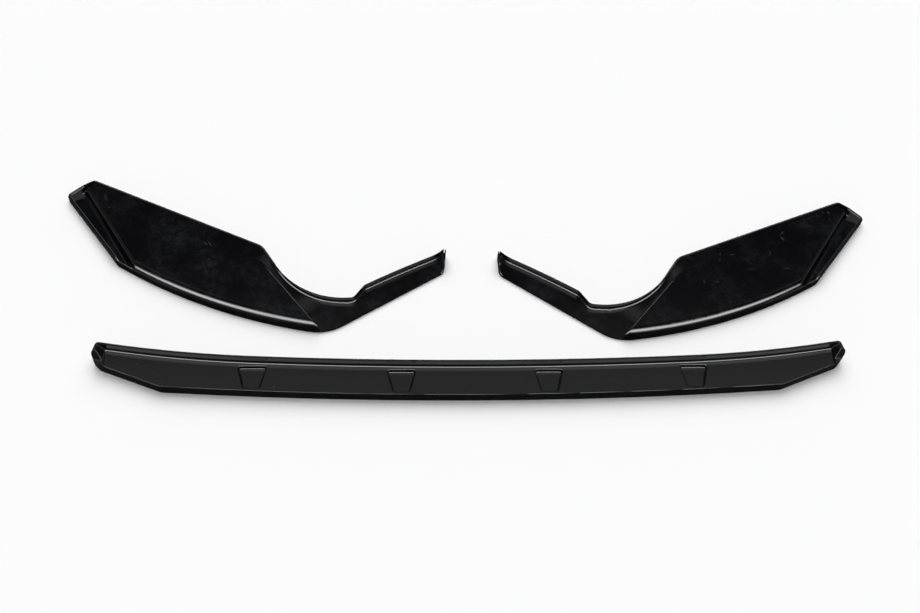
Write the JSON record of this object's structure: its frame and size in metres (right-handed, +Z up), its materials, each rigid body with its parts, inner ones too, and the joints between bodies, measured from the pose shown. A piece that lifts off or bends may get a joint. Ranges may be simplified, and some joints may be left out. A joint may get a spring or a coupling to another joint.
{
  "type": "front splitter lip",
  "caption": "Gloss black car front splitter: a long bowed centre lip with tapered pockets and a rear flange, and handed corner blades with a low arm and a raised plateau.",
  "frame": {"origin": "middle of the bottom of the box round the three mouldings as they lie on a flat surface", "axes": "+X along the centre lip, towards the right corner blade; -Y towards the edge that faces forward on the car; +Z up, away from the surface"},
  "size_m": [1.1512, 0.349, 0.03],
  "materials": {
    "gloss_black_plastic": "gloss"
  },
  "bodies": {
    "root": {"centre_lip": "gloss_black_plastic", "corner_blade_left": "gloss_black_plastic", "corner_blade_right": "gloss_black_plastic"}
  },
  "joints": []
}
